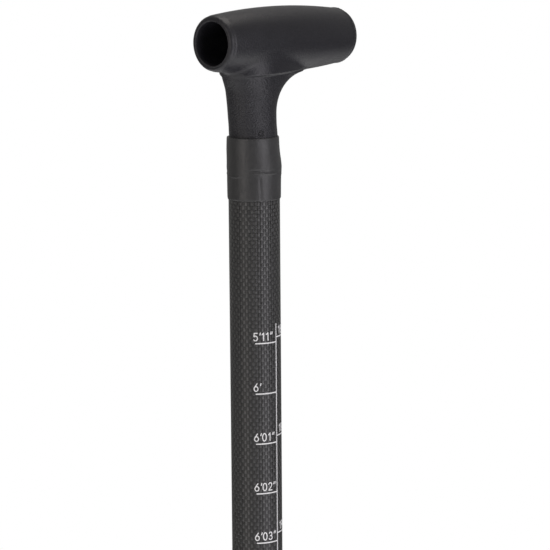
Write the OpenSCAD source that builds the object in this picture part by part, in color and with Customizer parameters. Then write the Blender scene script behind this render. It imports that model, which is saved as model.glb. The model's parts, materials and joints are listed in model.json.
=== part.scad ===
// Adjustable stand-up paddle: offset T grip on a sliding carbon extension with a printed
// length scale, lever clamp, push-button ferrule and a foam-cored carbon blade.
// Millimetres. Origin where the grip bar's axis crosses the shaft's axis. +Z runs up along
// the shaft, +X along the bar towards its long arm, +Y is the paddle's forward side.

/* [Length] */
// Overall length at rest, grip top to blade tip, without the blade's own lean
paddle_len = 2000; // [1940:10:2060]
// Distance from the top of the grip to the 5 ft 11 in mark of the length scale
scale_drop = 164.4; // [160:0.5:175]

/* [Grip] */
// Length of the grip bar
bar_len = 92.6; // [86:0.2:100]
// How far the middle of the bar is from the shaft's axis
bar_shift = 17.3; // [14:0.1:20]
// Bar diameter at its middle
bar_d = 32.8; // [31:0.2:35]
// Bar diameter at its ends, before the edge round
bar_end_d = 26.8; // [26:0.2:28]
// Edge round on the bar's ends
bar_round = 2.4; // [1.5:0.1:2.6]
// Bore through the bar
bore_d = 21.3; // [19:0.1:22]
// Stem diameter below the flare
stem_d = 23.9; // [23.5:0.1:24.4]

/* [Shafts] */
// Outer diameter of the sliding extension
ext_d = 25.4; // [25.4:0.1:25.5]
// Outer diameter of the two lower tubes
main_d = 29; // [29:0.1:30]
// Wall of every tube
tube_wall = 1.5; // [1.4:0.05:1.5]
// Length of the middle tube, clamp top to ferrule
mid_len = 850; // [780:10:880]

/* [Clamp] */
// Outer diameter of the clamp collar
collar_d = 37; // [37:0.2:39]
// Height of the clamp collar
collar_h = 46; // [44:1:52]
// Inner radius of the closed lever's arc
lever_in_r = 20.8; // [20.6:0.1:21.5]
// Thickness of the lever's arc
lever_t = 4.4; // [4:0.1:5]

/* [Blade] */
// Blade length, shaft end to tip
blade_len = 475; // [460:5:490]
// Widest part of the blade
blade_w = 210; // [195:5:220]
// Forward lean of the blade in degrees
blade_lean = 10; // [6:1:12]
// Width of the edge rail
rail_w = 5; // [4:0.5:6]

/* [Hidden] */
$fn = 64;

over = 1;            // overshoot of cutting tools
run_gap = 0.05;      // radial clearance of running fits
mark_mm = 1803.4;    // 5 ft 11 in

// heights along the shaft
top_z = bar_d / 2;
mark_z = top_z - scale_drop;
tube_top = -61.5;
sleeve_top = -46.5;
sleeve_bottom = -77.5;
flare_z = -46;
spigot_z = -100;
ext_bottom = -675;
clamp_z = mark_z - (paddle_len - mark_mm);
liner_h = 21.6;
ferrule_z = clamp_z - mid_len;
blade_z = top_z - paddle_len + blade_len;

// radii
ext_r = ext_d / 2;
ext_ir = ext_r - tube_wall;
main_r = main_d / 2;
main_ir = main_r - tube_wall;
stem_r = stem_d / 2;
collar_r = collar_d / 2;
liner_or = main_r;

// colours
carbon = [0.22, 0.22, 0.23];
plastic = [0.17, 0.17, 0.18];
shrink = [0.20, 0.20, 0.21];
metal = [0.72, 0.73, 0.75];
foam = [0.85, 0.83, 0.76];
rubber = [0.12, 0.12, 0.12];

function smooth(x) = let (c = min(1, max(0, x))) c * c * (3 - 2 * c);

module ring(outer, inner, z0, z1) {
    translate([0, 0, min(z0, z1)]) difference() {
        cylinder(r = outer, h = abs(z1 - z0));
        translate([0, 0, -over]) cylinder(r = inner, h = abs(z1 - z0) + 2 * over);
    }
}

// ---------------------------------------------------------------- grip

// bar radius at a distance s from its middle
function bar_r(s) = bar_d / 2 - (bar_d - bar_end_d) / 2 * pow(2 * s / bar_len, 2);
bar_end_r = bar_r(bar_len / 2 - bar_round);
bar_half = [for (i = [0:6]) let (s = i / 6 * (bar_len / 2 - bar_round)) [bar_r(s), s]];
bar_edge = [for (a = [18:18:90])
    [bar_end_r - bar_round * (1 - cos(a)), bar_len / 2 - bar_round * (1 - sin(a))]];
bar_side = concat(bar_half, bar_edge);
bar_profile = concat(
    [[0, -bar_len / 2]],
    [for (i = [len(bar_side) - 1:-1:1]) [bar_side[i][0], -bar_side[i][1]]],
    bar_side,
    [[0, bar_len / 2]]
);

// the stem's flare: a long sweep under the long arm, a short one under the short arm
sweep_x = 28;
sweep_z = 18;
sweep_from = -34;
flare_top = -8;
foot_in = 0.4;       // the flare's foot starts this far inside the stem
function foot_r(z) = stem_r - foot_in * (1 - min(1, (z - flare_z) / 12));
function long_side(z) = let (u = min(0.95, max(0, (z - sweep_from) / sweep_z)))
    foot_r(z) + sweep_x * (1 - sqrt(1 - u * u));
function short_side(z) = stem_r - foot_in + (4 + foot_in) * pow(min(1, (z - flare_z) / 30), 1.2);
function flank(z) = foot_r(z) + 2.2 * pow(min(1, max(0, (z + 32) / 20)), 2);
flare_sides = 32;
flare_zs = [flare_z, -40, -34, -31, -28, -26, -24, -22, -20.5, -19, -18, -17, flare_top];
function flare_point(z, a) =
    [(cos(a) > 0 ? long_side(z) : short_side(z)) * cos(a), flank(z) * sin(a), z];

module flare() {
    n = flare_sides;
    m = len(flare_zs);
    points = [for (z = flare_zs) for (k = [0:n - 1]) flare_point(z, k * 360 / n)];
    sides = [for (i = [0:m - 2]) for (k = [0:n - 1]) let (j = (k + 1) % n)
        each [[i * n + k, (i + 1) * n + k, (i + 1) * n + j],
              [i * n + k, (i + 1) * n + j, i * n + j]]];
    caps = [[for (k = [0:n - 1]) k], [for (k = [n - 1:-1:0]) (m - 1) * n + k]];
    polyhedron(points, concat(sides, caps));
}

// bar, flare and stem as one skin, at its own length
module grip_skin() {
    resize([bar_len, 0, 0]) {
        translate([bar_shift, 0, 0]) rotate([0, 90, 0]) rotate_extrude($fn = 56) polygon(bar_profile);
        flare();
        translate([0, 0, tube_top]) cylinder(r = stem_r, h = flare_zs[4] - tube_top);
    }
}

module grip_body() {
    color(plastic) difference() {
        union() {
            grip_skin();
            translate([0, 0, spigot_z]) cylinder(r = ext_ir, h = tube_top - spigot_z);
        }
        translate([bar_shift - bar_len / 2 - over, 0, 0]) rotate([0, 90, 0])
            cylinder(d = bore_d, h = bar_len + 2 * over);
        // cored stem, closed above the bore's wall
        translate([0, 0, spigot_z - over]) cylinder(r = 7.5, h = -20 - spigot_z);
    }
}

// heat-shrink sleeve: tight on the stem, stepping out over the tube's end
module shrink_sleeve() {
    color(shrink) rotate_extrude() polygon([
        [stem_r, sleeve_top], [12.9, sleeve_top], [13.1, -51], [13.4, -56], [13.65, -60],
        [13.7, -62.5], [13.4, -65], [13.3, -70], [13.25, -75], [13.0, sleeve_bottom],
        [ext_r, sleeve_bottom], [ext_r, tube_top], [stem_r, tube_top]
    ]);
}

module extension_tube() {
    color(carbon) ring(ext_r, ext_ir, tube_top, ext_bottom);
}

module extension_end_plug() {
    plug_h = 20;
    lip_h = 4;
    color(plastic) difference() {
        union() {
            translate([0, 0, ext_bottom]) cylinder(r = ext_ir, h = plug_h);
            translate([0, 0, ext_bottom - lip_h]) cylinder(r1 = ext_r - 1.2, r2 = ext_r, h = lip_h);
        }
        // blind recess from above, so the plug is a cup
        translate([0, 0, ext_bottom]) cylinder(r = ext_ir - 2.5, h = plug_h + over);
    }
}

// ---------------------------------------------------------------- clamp

lip_h = 2;
liner_gap = 0.2;
liner_top = clamp_z - lip_h - liner_gap;
liner_bottom = liner_top - liner_h;
tube_seat = liner_bottom - liner_gap;
slit_w = 3;
ear_y = 8;
ear_x0 = 15;
ear_x1 = 30;
bolt_x = 24;
bolt_z = clamp_z - 13;
ear_h = 20;
pad_t = 1;
cam_r = 5.95;
cam_shift = 0.5;
pin_r = 4;
pin_y = -(ear_y + pad_t + cam_r + cam_shift + run_gap);
bolt_r = 2.5;
lever_h = 19;
fork_h = 6.4;

module clamp_liner() {
    color(plastic) difference() {
        ring(liner_or, ext_r + run_gap, liner_bottom, liner_top);
        translate([-main_r - over, -1, liner_bottom - over]) cube([6, 2, liner_h + 2 * over]);
    }
}

module ears() {
    translate([0, 0, bolt_z - ear_h / 2]) linear_extrude(ear_h) hull() {
        translate([ear_x0, -ear_y]) square([1, 2 * ear_y]);
        for (s = [-1, 1]) translate([ear_x1 - 2, s * (ear_y - 2)]) circle(r = 2, $fn = 32);
    }
}

module clamp_collar() {
    foot_h = 10;
    slit_depth = clamp_z - tube_seat + 3;
    color(plastic) difference() {
        union() {
            translate([0, 0, clamp_z - collar_h + foot_h])
                cylinder(r = collar_r, h = collar_h - foot_h - 1);
            translate([0, 0, clamp_z - 1]) cylinder(r1 = collar_r, r2 = collar_r - 1, h = 1);
            translate([0, 0, clamp_z - collar_h])
                cylinder(r1 = main_r + 1.2, r2 = collar_r, h = foot_h);
            ears();
        }
        // lip bore, liner seat, tube socket
        translate([0, 0, clamp_z - lip_h - over]) cylinder(r = ext_r + 0.6, h = lip_h + 2 * over);
        translate([0, 0, tube_seat]) cylinder(r = liner_or + run_gap, h = clamp_z - lip_h - tube_seat);
        translate([0, 0, clamp_z - collar_h - over])
            cylinder(r = main_r, h = tube_seat - clamp_z + collar_h + over);
        // clamping slit and the screw's holes
        translate([ext_r - 2, -slit_w / 2, clamp_z - slit_depth])
            cube([ear_x1, slit_w, slit_depth + over]);
        translate([bolt_x, ear_y + over, bolt_z]) rotate([90, 0, 0])
            cylinder(r = bolt_r + 0.2, h = 2 * ear_y + 2 * over);
    }
}

module at_bolt(y) {
    translate([bolt_x, y, bolt_z]) rotate([-90, 0, 0]) children();
}

module lever_pin() {
    color(metal) difference() {
        translate([bolt_x, pin_y, bolt_z - lever_h / 2]) cylinder(r = pin_r, h = lever_h);
        at_bolt(pin_y - pin_r - over) cylinder(r = bolt_r + run_gap, h = 2 * pin_r + 2 * over);
    }
}

module cam_pad() {
    color(metal) difference() {
        translate([bolt_x - 6, -ear_y - pad_t, bolt_z - 9]) cube([12, pad_t, 18]);
        at_bolt(-ear_y - pad_t - over) cylinder(r = bolt_r + 0.2, h = pad_t + 2 * over);
    }
}

module screw_washer() {
    color(metal) difference() {
        at_bolt(ear_y) cylinder(r = 5, h = pad_t);
        at_bolt(ear_y - over) cylinder(r = bolt_r + 0.2, h = pad_t + 2 * over);
    }
}

module tension_screw() {
    head_h = 5;
    head_y = ear_y + pad_t + run_gap;
    tip_in = 1.1;     // keeps the tip's edge inside the pin
    shank = head_y - (pin_y - pin_r + tip_in);
    color(metal) difference() {
        union() {
            at_bolt(head_y - shank) cylinder(r = bolt_r, h = shank + over);
            at_bolt(head_y) cylinder(r = 4.5, h = head_h);
        }
        at_bolt(head_y + head_h - 3) cylinder(r = 2.3, h = 3 + over, $fn = 6);
    }
}

lever_mid_r = lever_in_r + lever_t / 2;
lever_from = -58;
lever_to = -196;
arc_step = 2;
function polar(r, a) = [r * cos(a), r * sin(a)];
function arc(r, a0, a1) = let (n = round(abs(a1 - a0) / arc_step))
    [for (i = [0:n]) polar(r, a0 + (a1 - a0) * i / n)];

// plan of the closed lever: cam disc at the pin, a neck, the arc round the collar, a flicked tip
module lever_plan() {
    polygon(concat(
        arc(lever_in_r, lever_from, lever_to),
        arc(lever_in_r + lever_t, lever_to, lever_from)
    ));
    hull() {
        translate(polar(lever_mid_r, lever_from)) circle(r = lever_t / 2, $fn = 32);
        translate([bolt_x, pin_y + cam_shift]) circle(r = cam_r, $fn = 48);
    }
    hull() {
        translate(polar(lever_mid_r, lever_to)) circle(r = lever_t / 2, $fn = 32);
        translate(polar(lever_mid_r + 3, lever_to - 9)) circle(r = 1.5, $fn = 32);
    }
}

module clamp_lever() {
    color(plastic) difference() {
        translate([0, 0, bolt_z - lever_h / 2]) linear_extrude(lever_h) lever_plan();
        translate([bolt_x, pin_y, bolt_z - lever_h / 2 - over])
            cylinder(r = pin_r + run_gap, h = lever_h + 2 * over);
        // fork that lets the screw pass while the lever swings
        translate([bolt_x, pin_y, bolt_z - fork_h / 2]) linear_extrude(fork_h)
            polygon(concat([[0, 0]], [for (a = [-80:15:130]) polar(14, a)]));
    }
}

module lever_pad() {
    pad_from = -112;
    pad_to = -176;
    r0 = lever_in_r + lever_t;
    color(rubber) translate([0, 0, bolt_z - 6.5]) linear_extrude(13)
        polygon(concat(arc(r0, pad_from, pad_to), arc(r0 + 1, pad_to + 2, pad_from - 2)));
}

// ---------------------------------------------------------------- tubes and ferrule

button_z = ferrule_z - 42;
button_r = 4;
flange_t = 2;
spigot_up = 60;
spigot_down = 82;
spigot_ir = 10.5;
bung_h = 30;

module button_hole() {
    translate([0, 0, button_z]) rotate([90, 0, 0]) cylinder(r = button_r + 0.1, h = main_r + over);
}

module main_tube() {
    color(carbon) ring(main_r, main_ir, tube_seat, ferrule_z);
}

module main_foam_bung() {
    color(foam) translate([0, 0, ferrule_z + spigot_up + 15]) cylinder(r = main_ir, h = bung_h);
}

module ferrule_spigot() {
    color(plastic) difference() {
        union() {
            translate([0, 0, ferrule_z]) cylinder(r = main_ir, h = spigot_up);
            translate([0, 0, ferrule_z - flange_t]) cylinder(r = main_r + 0.8, h = flange_t);
            translate([0, 0, ferrule_z - spigot_down])
                cylinder(r = main_ir - 0.1, h = spigot_down - flange_t);
        }
        translate([0, 0, ferrule_z - spigot_down - over])
            cylinder(r = spigot_ir, h = spigot_down + spigot_up + 2 * over);
        button_hole();
    }
}

module main_end_ring() {
    color(metal) ring(main_r + 0.8, main_r, ferrule_z + 10, ferrule_z);
}

module lower_end_ring() {
    color(metal) ring(main_r + 0.8, main_r, ferrule_z - flange_t, ferrule_z - flange_t - 10);
}

button_flange_y = -9;
button_top_y = -(main_r + 2.5);

module snap_button() {
    color(metal) translate([0, 0, button_z]) rotate([-90, 0, 0]) {
        translate([0, 0, button_top_y]) cylinder(r1 = button_r - 1, r2 = button_r, h = 1);
        translate([0, 0, button_top_y + 1])
            cylinder(r = button_r, h = button_flange_y - button_top_y - 1);
        translate([0, 0, button_flange_y]) cylinder(r = button_r + 1.2, h = 1.2);
    }
}

// bent leaf: under the button, down to an apex, back up the far wall
module button_spring() {
    leaf_w = 6;
    leaf_t = 0.7;
    path = [[-7.4, 6], [-7.4, -6], [1, -34], [9.3, -10], [9.3, 8]];
    color(metal) translate([-leaf_w / 2, 0, button_z]) rotate([90, 0, 90]) linear_extrude(leaf_w)
        for (i = [0:len(path) - 2]) hull() {
            translate(path[i]) circle(d = leaf_t, $fn = 16);
            translate(path[i + 1]) circle(d = leaf_t, $fn = 16);
        }
}

shaft_end = blade_z - 50;

module lower_tube() {
    color(carbon) difference() {
        ring(main_r, main_ir, ferrule_z - flange_t, shaft_end);
        button_hole();
    }
}

module lower_foam_bung() {
    color(foam) translate([0, 0, ferrule_z - spigot_down - 20 - bung_h]) cylinder(r = main_ir, h = bung_h);
}

module neck_ring() {
    color(rubber) rotate_extrude() polygon([
        [main_r, blade_z + 0.1], [main_r + 2.5, blade_z + 0.1], [main_r + 2.3, blade_z + 3],
        [main_r + 0.7, blade_z + 9], [main_r, blade_z + 9]
    ]);
}

// ---------------------------------------------------------------- blade

neck_hw = 17.5;     // half width at the neck
shoulder_t = 62;    // where the blade starts to widen
belly_t = 300;      // where it is widest
bend_from = 58;     // the lean is a bend between these two stations
bend_to = 190;
skin_t = 0.9;
edge_h = 1.9;       // half thickness along the rail
ridge_hw = 27;      // half width of the central ridge
upper_rows = 22;
tip_rows = 12;
columns = 18;
round_power = 2 / 2.7;
last_turn = 84;     // degrees of the tip's quarter curve that the rows reach

function upper_t(i) = belly_t * i / upper_rows;
function widening(t) = smooth((t - shoulder_t) / (belly_t - shoulder_t) * 1.06);
function rail_at(t) = rail_w * smooth((t - shoulder_t) / 50);
function upper_w(t) = neck_hw + (blade_w / 2 - neck_hw) * widening(t);
function turn(i) = last_turn * (i - upper_rows) / tip_rows;

// half width and station of row i, pulled in by k times the rail
function row_w(i, k) = i <= upper_rows
    ? upper_w(upper_t(i)) - k * rail_at(upper_t(i))
    : (blade_w / 2 - k * rail_w) * pow(cos(turn(i)), round_power);
function row_t(i, k) = i <= upper_rows
    ? upper_t(i)
    : belly_t + (blade_len - belly_t - k * rail_w) * pow(sin(turn(i)), round_power);

// ridge height above the middle plane: the back spine runs further than the face's
function ridge(t, side) = let (fade = side > 0 ? 300 : 210, low = side > 0 ? 3.4 : 2.6)
    edge_h + (17.5 - low) * (1 - smooth((t - 52) / (fade - 52)))
    + (low - edge_h) * (1 - smooth((t - 330) / (blade_len - 8 - 330)));
function crown(t, x, w) = let (
        flat = smooth((t - 55) / 110),
        q = min(1, abs(x) / w),
        p = min(1, abs(x) / min(w, ridge_hw)))
    (1 - flat) * sqrt(1 - q * q) + flat * (0.5 + 0.5 * cos(180 * p));
function height(t, x, w, side) =
    side * (edge_h + (ridge(t, side) - edge_h) * crown(t, x, w));

bend_r = (bend_to - bend_from) * 180 / (PI * blade_lean);
function lean(t) = blade_lean * min(1, max(0, (t - bend_from) / (bend_to - bend_from)));
function past(t) = max(0, t - bend_to);
function on_blade(x, t, h) = let (a = lean(t)) [
    x,
    bend_r * (1 - cos(a)) + past(t) * sin(a) + h * cos(a),
    blade_z - min(t, bend_from) - bend_r * sin(a) - past(t) * cos(a) + h * sin(a)
];

rows = upper_rows + tip_rows;
// grid of points on one side, sunk by d below the outer surface
function blade_grid(side, d) = [for (i = [0:rows]) let (w = row_w(i, 1), t = row_t(i, 1))
    [for (j = [0:columns]) let (x = w * (2 * j / columns - 1))
        on_blade(x, t, height(t, x, w, side) - side * d)]];

// closed solid between two grids of the same size, the first on the +Y side
module between(upper, lower) {
    m = columns + 1;
    n = (rows + 1) * m;
    points = concat([for (r = upper) each r], [for (r = lower) each r]);
    sheets = [for (i = [0:rows - 1]) for (j = [0:columns - 1])
        let (a = i * m + j, b = a + 1, c = a + m + 1, d = a + m)
        each [[a, c, b], [a, d, c], [n + a, n + b, n + c], [n + a, n + c, n + d]]];
    ends = [for (j = [0:columns - 1]) for (e = [[0, 0], [rows * m, 1]])
        let (a = e[0] + j, b = a + 1)
        each (e[1] == 0 ? [[a, b, n + b], [a, n + b, n + a]] : [[a, n + b, b], [a, n + a, n + b]])];
    edges = [for (i = [0:rows - 1]) for (e = [[0, 0], [columns, 1]])
        let (a = i * m + e[0], d = a + m)
        each (e[1] == 0 ? [[a, n + d, d], [a, n + a, n + d]] : [[a, d, n + d], [a, n + d, n + a]])];
    polyhedron(points, concat(sheets, ends, edges));
}

module blade_face_skin() {
    color(carbon) between(blade_grid(-1, skin_t), blade_grid(-1, 0));
}

module blade_back_skin() {
    color(carbon) between(blade_grid(1, 0), blade_grid(1, skin_t));
}

module blade_core() {
    color(foam) difference() {
        between(blade_grid(1, skin_t), blade_grid(-1, skin_t));
        translate([0, 0, shaft_end]) cylinder(r = main_r, h = 50 + over);
    }
}

// edge rail: swept from one shoulder round the tip to the other
rail_first = 5;
rail_stations = concat(
    [for (i = [rail_first:rows]) [i, -1]],
    [for (j = [1:columns - 1]) [rows, 2 * j / columns - 1]],
    [for (i = [rows:-1:rail_first]) [i, 1]]
);
function rail_point(s, k, h) = let (i = s[0]) on_blade(s[1] * row_w(i, k), row_t(i, k), h);
function rail_section(s) = [
    rail_point(s, 1, edge_h), rail_point(s, 0.35, 1.5), rail_point(s, 0, 0),
    rail_point(s, 0.35, -1.5), rail_point(s, 1, -edge_h)
];

module blade_edge_rail() {
    n = len(rail_stations);
    k = 5;
    points = [for (s = rail_stations) each rail_section(s)];
    sides = [for (i = [0:n - 2]) for (j = [0:k - 1]) let (m = (j + 1) % k)
        each [[i * k + j, (i + 1) * k + j, (i + 1) * k + m], [i * k + j, (i + 1) * k + m, i * k + m]]];
    caps = [[for (j = [0:k - 1]) j], [for (j = [k - 1:-1:0]) (n - 1) * k + j]];
    color(rubber) polyhedron(points, concat(sides, caps));
}

// ---------------------------------------------------------------- nodes

grip_body();
shrink_sleeve();
extension_tube();
extension_end_plug();
clamp_liner();
clamp_collar();
main_tube();
lever_pin();
cam_pad();
screw_washer();
main_foam_bung();
ferrule_spigot();
main_end_ring();
lower_end_ring();
button_spring();
lower_tube();
lower_foam_bung();
neck_ring();
blade_core();
blade_face_skin();
blade_back_skin();
blade_edge_rail();
clamp_lever();
lever_pad();
tension_screw();
snap_button();
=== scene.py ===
import json
import math

import bpy
import numpy as np
from mathutils import Matrix, Vector
from mathutils.geometry import delaunay_2d_cdt


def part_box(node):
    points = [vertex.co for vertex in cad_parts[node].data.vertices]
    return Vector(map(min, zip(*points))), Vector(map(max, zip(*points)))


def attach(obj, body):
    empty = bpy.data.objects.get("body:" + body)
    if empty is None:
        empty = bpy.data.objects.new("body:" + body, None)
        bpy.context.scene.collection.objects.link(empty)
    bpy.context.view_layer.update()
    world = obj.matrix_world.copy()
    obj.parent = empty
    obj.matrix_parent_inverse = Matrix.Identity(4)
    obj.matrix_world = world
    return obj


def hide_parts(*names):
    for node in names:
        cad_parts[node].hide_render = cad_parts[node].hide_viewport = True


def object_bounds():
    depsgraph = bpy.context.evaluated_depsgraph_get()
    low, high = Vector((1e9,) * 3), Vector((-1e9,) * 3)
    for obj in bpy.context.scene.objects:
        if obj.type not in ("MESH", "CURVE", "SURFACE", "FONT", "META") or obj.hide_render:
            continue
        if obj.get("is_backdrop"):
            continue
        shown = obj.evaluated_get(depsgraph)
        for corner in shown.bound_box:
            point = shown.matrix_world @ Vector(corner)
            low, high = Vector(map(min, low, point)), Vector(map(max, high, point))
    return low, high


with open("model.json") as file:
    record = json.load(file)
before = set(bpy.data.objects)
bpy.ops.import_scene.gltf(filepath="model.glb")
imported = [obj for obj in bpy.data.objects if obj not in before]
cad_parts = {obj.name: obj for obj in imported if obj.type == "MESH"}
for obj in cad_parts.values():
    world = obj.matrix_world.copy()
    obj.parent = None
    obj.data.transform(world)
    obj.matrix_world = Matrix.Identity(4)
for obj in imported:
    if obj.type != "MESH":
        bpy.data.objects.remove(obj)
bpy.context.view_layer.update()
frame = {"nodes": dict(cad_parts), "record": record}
NODES = frame["nodes"]
MM = 0.001

# ------------------ places, read from the frame (mm)


def box_mm(node):
    lo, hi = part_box(node)
    return np.array(lo) / MM, np.array(hi) / MM


bar_lo, bar_hi = box_mm("grip_body")
sleeve_lo, sleeve_hi = box_mm("shrink_sleeve")
ext_lo, ext_hi = box_mm("extension_tube")
collar_lo, collar_hi = box_mm("clamp_collar")
main_lo, main_hi = box_mm("main_tube")
pin_lo, pin_hi = box_mm("lever_pin")
lever_lo, lever_hi = box_mm("clamp_lever")
screw_lo, screw_hi = box_mm("tension_screw")
button_lo, button_hi = box_mm("snap_button")
lower_lo, lower_hi = box_mm("lower_tube")
neck_lo, neck_hi = box_mm("neck_ring")
face_hi = box_mm("blade_face_skin")[1]

BAR_HALF = (bar_hi[0] - bar_lo[0]) / 2
BAR_MID = (bar_hi[0] + bar_lo[0]) / 2
BAR_R = bar_hi[2]
BAR_END_R = 13.4    # the barrel is this thick at its ends
BAR_ROUND = 1.6     # the round of its end edges
BORE_R = 10.65
STEM_R = 11.95      # the stem where the sleeve covers it
EXT_R = ext_hi[0]
MAIN_R = main_hi[0]
WALL = 1.5          # of every tube
CLAMP_Z = collar_hi[2]

# ------------------ meshes


def add_object(name, data):
    obj = bpy.data.objects.new(name, data)
    bpy.context.scene.collection.objects.link(obj)
    return obj


def new_object(name, verts, faces, smooth=True):
    """A mesh object from points in millimetres, at the frame's origin."""
    mesh = bpy.data.meshes.new(name)
    mesh.from_pydata((np.asarray(verts, float) * MM).tolist(), [], [tuple(map(int, f)) for f in faces])
    mesh.validate()
    mesh.update()
    if smooth:
        mesh.shade_smooth()
    return add_object(name, mesh)


def finish_piece(obj, body, slot, *replaced, material=None, sharp_deg=None):
    """Gives the piece its body and its material, which is the slot's finish unless one is given, and hides
    the nodes that it stands for.
    """
    if sharp_deg is not None:
        obj.data.set_sharp_from_angle(angle=math.radians(sharp_deg))
    obj.data.materials.clear()
    obj.data.materials.append(material or FINISH[slot])
    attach(obj, body)
    if replaced:
        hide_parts(*replaced)


def band(i, k, m):
    """The quads between loop i and loop k of m points each."""
    return [(i * m + j, i * m + (j + 1) % m, k * m + (j + 1) % m, k * m + j) for j in range(m)]


def lathe(name, profile, segments=128, axis="z", centre=(0, 0, 0)):
    """A closed ring or solid from a closed (radius, height) profile. Points at radius 0 become poles."""
    profile = np.asarray(profile, float)
    n = len(profile)
    turn = np.linspace(0, 2 * math.pi, segments, endpoint=False)
    r = profile[:, 0][:, None]
    h = np.repeat(profile[:, 1][:, None], segments, 1)
    a, b = r * np.cos(turn), r * np.sin(turn)
    points = {"z": (a, b, h), "y": (b, h, a), "x": (h, a, b)}[axis]
    verts = np.stack(points, -1).reshape(-1, 3) + np.array(centre)
    faces = []
    pole = profile[:, 0] < 1e-6
    for i in range(n):
        k = (i + 1) % n
        if pole[i] and pole[k]:
            continue
        for a, b, c, d in band(i, k, segments):
            if pole[i]:
                faces.append((i * segments, c, d))
            elif pole[k]:
                faces.append((a, b, k * segments))
            else:
                faces.append((a, b, c, d))
    used = sorted({v for f in faces for v in f})
    index = {v: i for i, v in enumerate(used)}
    obj = new_object(name, verts[used], [[index[v] for v in f] for f in faces])
    return outward(obj)


def loft(name, loops):
    """A closed mesh through loops of points, with a fan over each end."""
    loops = np.asarray(loops, float)
    n, m = loops.shape[:2]
    verts = np.concatenate([loops.reshape(-1, 3), loops[0].mean(0)[None], loops[-1].mean(0)[None]])
    faces = []
    for i in range(n - 1):
        faces += band(i, i + 1, m)
    faces += [(n * m, (j + 1) % m, j) for j in range(m)]
    faces += [(n * m + 1, (n - 1) * m + j, (n - 1) * m + (j + 1) % m) for j in range(m)]
    return outward(new_object(name, verts, faces))


def slab(name, upper, lower):
    """A closed solid between two grids of points of the same shape (rows, columns, 3)."""
    rows, cols = upper.shape[:2]
    n = rows * cols
    ids = np.arange(n).reshape(rows, cols)
    a, b, c, d = (ids[:-1, :-1], ids[:-1, 1:], ids[1:, 1:], ids[1:, :-1])
    sheet = np.stack([a, d, c, b], -1).reshape(-1, 4)
    rim = np.concatenate([ids[0, :], ids[1:, -1], ids[-1, -2::-1], ids[-2:0:-1, 0]])
    nxt = np.roll(rim, -1)
    walls = np.stack([rim, nxt, nxt + n, rim + n], -1)
    faces = np.concatenate([sheet, sheet[:, ::-1] + n, walls])
    return outward(new_object(name, np.concatenate([upper.reshape(-1, 3), lower.reshape(-1, 3)]), faces))


def cut(obj, tool):
    """Cuts the tool out of the object for good, and removes it."""
    boolean = obj.modifiers.new("cut", "BOOLEAN")
    boolean.operation = "DIFFERENCE"
    boolean.solver = "EXACT"
    boolean.object = tool
    graph = bpy.context.evaluated_depsgraph_get()
    mesh = bpy.data.meshes.new_from_object(obj.evaluated_get(graph))
    obj.modifiers.clear()
    obj.data = mesh
    bpy.data.objects.remove(tool)


def outward(obj):
    """Turns all faces outwards if the mesh's volume comes out negative."""
    mesh = obj.data
    mesh.calc_loop_triangles()
    co = np.zeros(len(mesh.vertices) * 3)
    mesh.vertices.foreach_get("co", co)
    co = co.reshape(-1, 3)
    tri = np.zeros(len(mesh.loop_triangles) * 3, np.int64)
    mesh.loop_triangles.foreach_get("vertices", tri)
    a, b, c = (co[tri.reshape(-1, 3)[:, k]] for k in range(3))
    if np.einsum("ij,ij->i", a, np.cross(b, c)).sum() < 0:
        mesh.flip_normals()
    return obj


def rounded(profile, radius, steps):
    """A closed profile with each corner replaced by an arc."""
    profile = np.asarray(profile, float)
    n = len(profile)
    out = []
    for i in range(n):
        p, a, b = profile[i], profile[i - 1] - profile[i], profile[(i + 1) % n] - profile[i]
        la, lb = np.linalg.norm(a), np.linalg.norm(b)
        a, b = a / la, b / lb
        half = math.acos(np.clip(a @ b, -1, 1)) / 2
        reach = min(radius / math.tan(half), 0.45 * min(la, lb))
        start, end = p + a * reach, p + b * reach
        for k in range(steps + 1):
            t = k / steps
            out.append((1 - t) ** 2 * start + 2 * t * (1 - t) * p + t ** 2 * end)
    return np.array(out)


def surface_nets(field, lo, hi, step):
    """Points and quads of the surface field = 0. field(x, y, z) is negative inside, all in millimetres."""
    axes = [np.arange(lo[k] - 1.5 * step, hi[k] + 2.5 * step, step) for k in range(3)]
    grid = np.meshgrid(*axes, indexing="ij")
    d = field(*grid)
    inside = d < 0
    size = np.array(d.shape) - 1
    corners = [(i, j, k) for i in (0, 1) for j in (0, 1) for k in (0, 1)]

    def at(a, o):
        return a[o[0] : o[0] + size[0], o[1] : o[1] + size[1], o[2] : o[2] + size[2]]

    total = sum(at(inside, o).astype(np.int8) for o in corners)
    active = (total > 0) & (total < 8)
    cells = np.argwhere(active)
    number = -np.ones(size, np.int64)
    number[active] = np.arange(len(cells))
    place = np.zeros((len(cells), 3))
    hits = np.zeros(len(cells))
    for a in corners:
        for axis in range(3):
            if a[axis]:
                continue
            b = tuple(1 if k == axis else a[k] for k in range(3))
            da, db = at(d, a)[active], at(d, b)[active]
            cross = (da < 0) != (db < 0)
            t = np.where(cross, da / np.where(cross, da - db, 1), 0)
            point = np.tile(np.array(a, float), (len(cells), 1))
            point[:, axis] += t
            place[cross] += point[cross]
            hits[cross] += 1
    verts = np.array([axes[k][0] for k in range(3)]) + (cells + place / hits[:, None]) * step
    quads = []
    for axis in range(3):
        u, v = (axis + 1) % 3, (axis + 2) % 3
        first = np.moveaxis(inside, (axis, u, v), (0, 1, 2))
        num = np.moveaxis(number, (axis, u, v), (0, 1, 2))
        low, high = first[:-1, 1:-1, 1:-1], first[1:, 1:-1, 1:-1]
        at_edge = np.argwhere(low != high)
        i, j, k = at_edge.T
        ring = np.stack([num[i, j, k], num[i, j + 1, k], num[i, j + 1, k + 1], num[i, j, k + 1]], 1)
        flip = ~low[i, j, k]
        ring[flip] = ring[flip][:, ::-1]
        quads.append(ring)
    for _ in range(4):
        verts = project(field, verts, step)
    return verts, np.concatenate(quads)


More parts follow.
